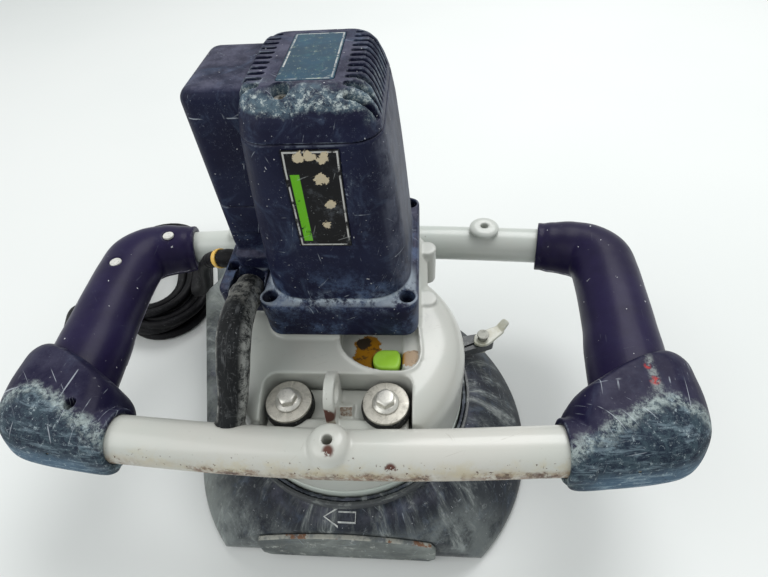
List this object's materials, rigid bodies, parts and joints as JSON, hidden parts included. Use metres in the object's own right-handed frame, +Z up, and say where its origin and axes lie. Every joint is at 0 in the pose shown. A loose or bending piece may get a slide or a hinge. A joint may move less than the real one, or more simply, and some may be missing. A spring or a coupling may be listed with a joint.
{
  "type": "surface grinder",
  "caption": "Upright two-hand surface grinder with spur-geared motor, tubular frame, turning extraction hood, brush ring and diamond cup wheel.",
  "frame": {"origin": "middle of the machine's length and width, at the floor it stands on, cord left out", "axes": "+X to the operator's right along the tubes, +Y from the front tube towards the hose spigot, +Z up"},
  "size_m": [0.5027, 0.326, 0.281],
  "materials": {
    "navy_plastic": "worn matt moulding with dust",
    "grip_plastic": "satin moulding",
    "grey_paint": "light grey gloss paint, chipped",
    "cast_alloy": "cast light alloy, painted light grey",
    "hood_moulding": "dusty charcoal moulding",
    "flap_moulding": "dusty grey moulding",
    "black_rubber": "matt rubber",
    "bristle": "dense nylon bristle",
    "steel": "machined",
    "zinc_steel": "worn zinc plate",
    "dark_screw": "blackened, dusty",
    "copper": "turned copper",
    "laminated": "varnished laminations and windings",
    "carbon": "carbon block",
    "lock_green": "bright yellow-green",
    "label_film": "worn black film",
    "badge_film": "worn dark blue film",
    "stud_plastic": "pale insert",
    "lever_steel": "worn beige",
    "diamond": "steel cup with sintered segments"
  },
  "bodies": {
    "machine": {"gear_housing": "cast_alloy", "spindle_cover": "cast_alloy", "motor_housing": "navy_plastic", "motor_cap": "navy_plastic", "top_badge": "badge_film", "front_label": "label_film", "flange_screw_front_left": "dark_screw", "flange_screw_front_right": "dark_screw", "flange_screw_rear_left": "dark_screw", "flange_screw_rear_right": "dark_screw", "cap_screw_front": "zinc_steel", "cap_screw_rear": "dark_screw", "electronics_cover": "navy_plastic", "cable_cover": "navy_plastic", "cable_sleeve": "black_rubber", "stator": "laminated", "carbon_brush_left": "carbon", "carbon_brush_right": "carbon", "armature_bearing_lower": "steel", "armature_bearing_upper": "steel", "spindle_bearing_upper": "steel", "spindle_bearing_lower": "steel", "front_tube": "grey_paint", "rear_tube": "grey_paint", "left_grip": "grip_plastic", "right_grip": "grip_plastic", "left_pod": "navy_plastic", "right_pod": "navy_plastic", "grip_stud_rear": "stud_plastic", "grip_stud_side": "stud_plastic", "buffer_left": "black_rubber", "buffer_right": "black_rubber", "buffer_washer_left": "zinc_steel", "buffer_washer_right": "zinc_steel", "buffer_bolt_left": "zinc_steel", "buffer_bolt_right": "zinc_steel", "lock_spring": "steel", "strain_relief": "black_rubber", "cord_lead": "black_rubber", "cord_hank": "black_rubber", "cord_tail": "black_rubber", "plug": "black_rubber"},
    "armature_set": {"armature": "laminated", "pinion": "steel", "cooling_fan": "navy_plastic", "commutator": "copper"},
    "spindle_set": {"spindle": "steel", "spindle_gear": "steel", "lock_disc": "steel", "cup_wheel": "diamond", "clamp_nut": "steel"},
    "lock": {"lock_button": "lock_green"},
    "switch": {"switch_paddle": "label_film"},
    "hood": {"hood_shell": "hood_moulding", "clamp_band": "grey_paint", "clamp_pin": "zinc_steel"},
    "brush": {"brush_ring": "bristle"},
    "flap": {"edge_flap": "flap_moulding"},
    "lever": {"clamp_lever": "lever_steel"}
  },
  "joints": [
    {"name": "spindle_spin", "type": "hinge", "parent": "machine", "child": "spindle_set", "pos_m": [0, -0.04254, 0.06], "axis": [0, 0, 1], "continuous": true},
    {"name": "armature_spin", "type": "hinge", "parent": "machine", "child": "armature_set", "pos_m": [0, 0.00346, 0.18], "axis": [0, 0, 1], "continuous": true},
    {"name": "lock_press", "type": "slide", "parent": "machine", "child": "lock", "axis": [0, 0, -1], "range_m": [0, 0.0035], "stiffness_N_per_m": 1200, "springref_m": -0.002, "deforming": ["lock_spring"]},
    {"name": "switch_press", "type": "hinge", "parent": "machine", "child": "switch", "pos_m": [0.178, -0.03654, 0.09], "axis": [1, 0, 0], "range_deg": [0, 3], "stiffness_Nm_per_rad": 6, "springref_deg": -5.73},
    {"name": "hood_turn", "type": "hinge", "parent": "machine", "child": "hood", "pos_m": [0, -0.04254, 0.06], "axis": [0, 0, 1], "range_deg": [-100, 0]},
    {"name": "brush_float", "type": "slide", "parent": "hood", "child": "brush", "axis": [0, 0, 1], "range_m": [0, 0.0025], "stiffness_N_per_m": 4000, "springref_m": -0.004},
    {"name": "flap_lift", "type": "slide", "parent": "hood", "child": "flap", "axis": [0, 0, 1], "range_m": [0, 0.02]},
    {"name": "lever_release", "type": "hinge", "parent": "hood", "child": "lever", "pos_m": [0.095, 0.00046, 0.068], "axis": [0, 0, 1], "range_deg": [0, 75]}
  ],
  "couplings": [
    {"joint": "armature_spin", "follows": "spindle_spin", "ratio": -2.8333}
  ]
}
